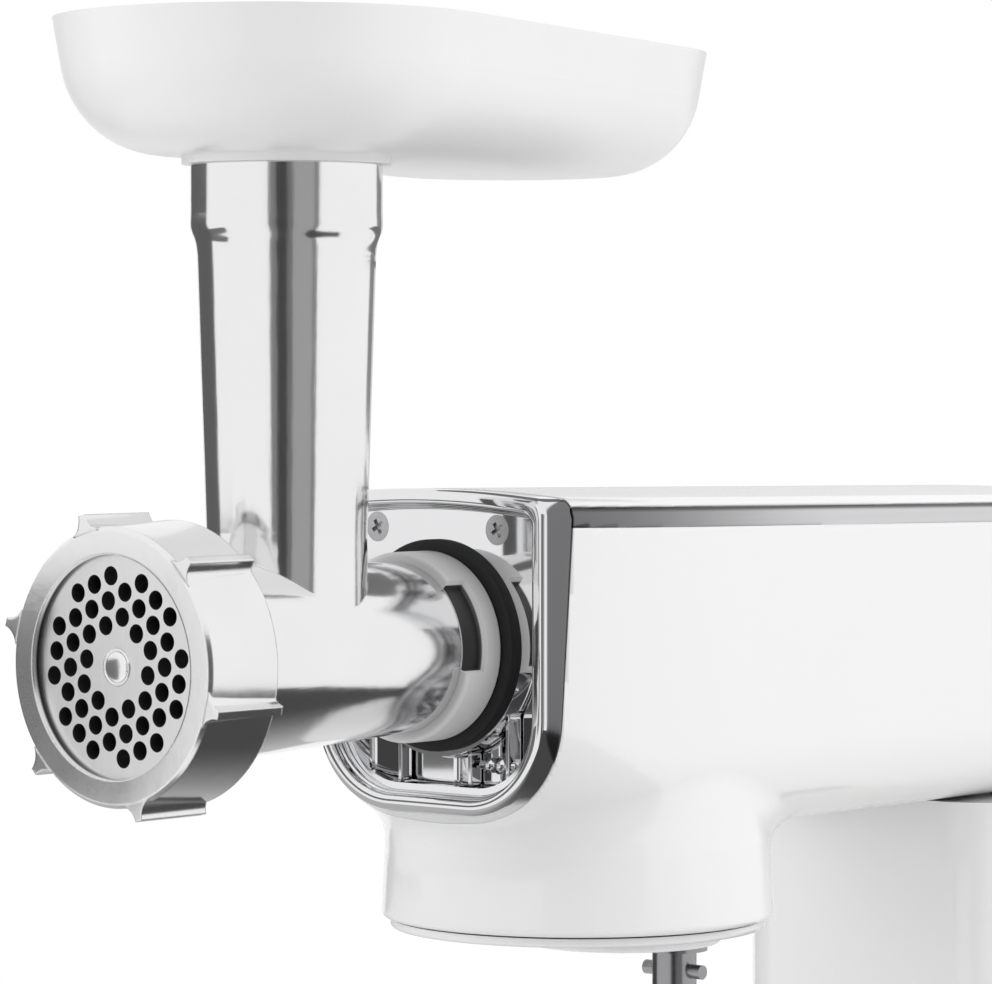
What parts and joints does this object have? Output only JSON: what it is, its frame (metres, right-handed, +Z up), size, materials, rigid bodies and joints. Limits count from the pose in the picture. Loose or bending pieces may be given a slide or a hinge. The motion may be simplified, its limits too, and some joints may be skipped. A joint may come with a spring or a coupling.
{
  "type": "electric_meat_grinder",
  "caption": "White countertop grinder: loading tray and polished grinder plugged into the chrome front hub of a tilting motor head on a column base",
  "frame": {"origin": "middle of the whole box, on the surface it stands on", "axes": "+Z up, +Y towards the back of the machine, the grinder faces -Y, +X to the right seen from the front"},
  "size_m": [0.206, 0.42, 0.4662],
  "materials": {
    "white_paint": "gloss",
    "tray_plastic": "gloss",
    "cast_aluminium": "polished",
    "satin_aluminium": "satin",
    "chrome_plate": "mirror",
    "cutter_steel": "brushed",
    "collar_plastic": "satin",
    "black_rubber": "matte",
    "dark_plastic": "satin",
    "grey_steel": "satin",
    "gear_steel": "machined",
    "bearing_bronze": "satin",
    "laminated_iron": "matte",
    "board_laminate": "satin"
  },
  "bodies": {
    "stand": {"base_shell": "white_paint", "column_shell": "white_paint", "base_plate": "dark_plastic", "base_feet": "black_rubber", "base_screws": "grey_steel", "bowl_seat": "grey_steel", "cord_gland": "black_rubber", "hinge_bracket": "grey_steel", "hinge_pin": "grey_steel", "speed_switch": "dark_plastic", "control_board": "board_laminate"},
    "head": {"head_shell": "white_paint", "head_top_cover": "white_paint", "trim_strip": "satin_aluminium", "front_bezel": "chrome_plate", "hub_dish": "chrome_plate", "hub_screws": "chrome_plate", "hub_seal": "black_rubber", "hub_bearing": "bearing_bronze", "rear_bearing": "bearing_bronze", "gear_frame": "satin_aluminium", "motor_stator": "laminated_iron", "motor_brushes": "bearing_bronze", "motor_front_bracket": "grey_steel", "motor_rear_bracket": "grey_steel", "ring_gear": "gear_steel", "planet_bearing": "bearing_bronze", "latch_guide": "grey_steel"},
    "grinder": {"grinder_body": "cast_aluminium", "rear_collar": "collar_plastic", "cutter_plate": "cutter_steel"},
    "tray": {"hopper_tray": "tray_plastic"},
    "ring_nut": {"ring_nut": "cast_aluminium"},
    "rotor": {"motor_rotor": "laminated_iron", "motor_fan": "dark_plastic", "motor_pinion": "gear_steel"},
    "lay": {"lay_shaft": "gear_steel", "lay_gear": "gear_steel", "lay_pinion": "gear_steel"},
    "drive": {"drive_shaft": "gear_steel", "main_gear": "gear_steel", "bevel_pinion": "gear_steel", "drive_spigot": "gear_steel", "auger": "cast_aluminium", "cutter_knife": "cutter_steel"},
    "planet": {"planet_shaft": "gear_steel", "crown_gear": "gear_steel", "planet_carrier": "satin_aluminium"},
    "tool": {"tool_shaft": "chrome_plate", "tool_pin": "chrome_plate", "planet_pinion": "gear_steel"},
    "speed_knob": {"speed_knob": "dark_plastic"},
    "tilt_lever": {"tilt_lever": "dark_plastic"},
    "lock_bolt": {"lock_bolt": "grey_steel"}
  },
  "joints": [
    {"name": "head_tilt", "type": "hinge", "parent": "stand", "child": "head", "pos_m": [0, 0.157, 0.29556], "axis": [-1, 0, 0], "range_deg": [0, 35]},
    {"name": "grinder_twist", "type": "hinge", "parent": "head", "child": "grinder", "pos_m": [0, -0.1, 0.303], "axis": [0, 1, 0], "range_deg": [0, 30]},
    {"name": "tray_lift", "type": "slide", "parent": "grinder", "child": "tray", "axis": [0, 0, 1], "range_m": [0, 0.06]},
    {"name": "ring_nut_turn", "type": "hinge", "parent": "grinder", "child": "ring_nut", "pos_m": [0, -0.2, 0.303], "axis": [0, 1, 0], "range_deg": [0, 360]},
    {"name": "motor_spin", "type": "hinge", "parent": "head", "child": "rotor", "pos_m": [0, 0.07, 0.303], "axis": [0, 1, 0], "continuous": true},
    {"name": "lay_spin", "type": "hinge", "parent": "head", "child": "lay", "pos_m": [-0.02033, 0.02, 0.28267], "axis": [0, 1, 0], "continuous": true},
    {"name": "drive_spin", "type": "hinge", "parent": "head", "child": "drive", "pos_m": [0, -0.05, 0.303], "axis": [0, 1, 0], "continuous": true},
    {"name": "planet_spin", "type": "hinge", "parent": "head", "child": "planet", "pos_m": [0, -0.03, 0.25], "axis": [0, 0, 1], "continuous": true},
    {"name": "tool_spin", "type": "hinge", "parent": "planet", "child": "tool", "pos_m": [0.02038, -0.01229, 0.22], "axis": [0, 0, 1], "continuous": true},
    {"name": "speed_knob_turn", "type": "hinge", "parent": "stand", "child": "speed_knob", "pos_m": [0.05, 0.149, 0.15], "axis": [1, 0, 0], "range_deg": [-30, 240]},
    {"name": "tilt_lever_turn", "type": "hinge", "parent": "head", "child": "tilt_lever", "pos_m": [-0.05, 0.111, 0.27456], "axis": [-1, 0, 0], "range_deg": [0, 22.1]},
    {"name": "lock_bolt_slide", "type": "slide", "parent": "head", "child": "lock_bolt", "axis": [0, 1, 0], "range_m": [0, 0.0075]}
  ],
  "couplings": [
    {"joint": "lay_spin", "follows": "motor_spin", "ratio": -0.27778},
    {"joint": "drive_spin", "follows": "motor_spin", "ratio": 0.098039},
    {"joint": "planet_spin", "follows": "motor_spin", "ratio": 0.04902},
    {"joint": "tool_spin", "follows": "motor_spin", "ratio": -0.17507},
    {"joint": "tilt_lever_turn", "follows": "lock_bolt_slide", "rad_per_m": 51.196}
  ]
}
